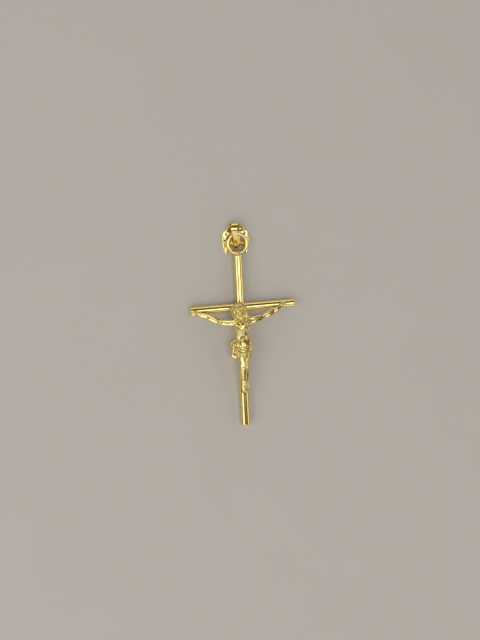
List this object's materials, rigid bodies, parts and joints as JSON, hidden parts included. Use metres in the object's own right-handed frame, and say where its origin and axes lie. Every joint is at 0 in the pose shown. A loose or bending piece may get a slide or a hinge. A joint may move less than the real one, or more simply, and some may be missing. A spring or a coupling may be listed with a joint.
{
  "type": "crucifix pendant with openwork bail",
  "caption": "Crucifix pendant of polished round rods with a cast figure, a soldered eye ring and a loose openwork bail.",
  "frame": {"origin": "under the middle of the whole pendant, on the surface that it lies on", "axes": "+X along the crossbar, to the right as seen from the front; +Y along the upright, from the foot towards the bail; +Z out of the front, upwards as the pendant lies on its back"},
  "size_m": [0.0208, 0.0402, 0.0044],
  "materials": {
    "polished_gold": "polished, gold plated",
    "cast_gold": "cast and tumbled, gold plated",
    "bail_gold": "stamped and polished, gold plated"
  },
  "bodies": {
    "root": {"cross": "polished_gold", "corpus": "cast_gold", "bail": "bail_gold"}
  },
  "joints": []
}
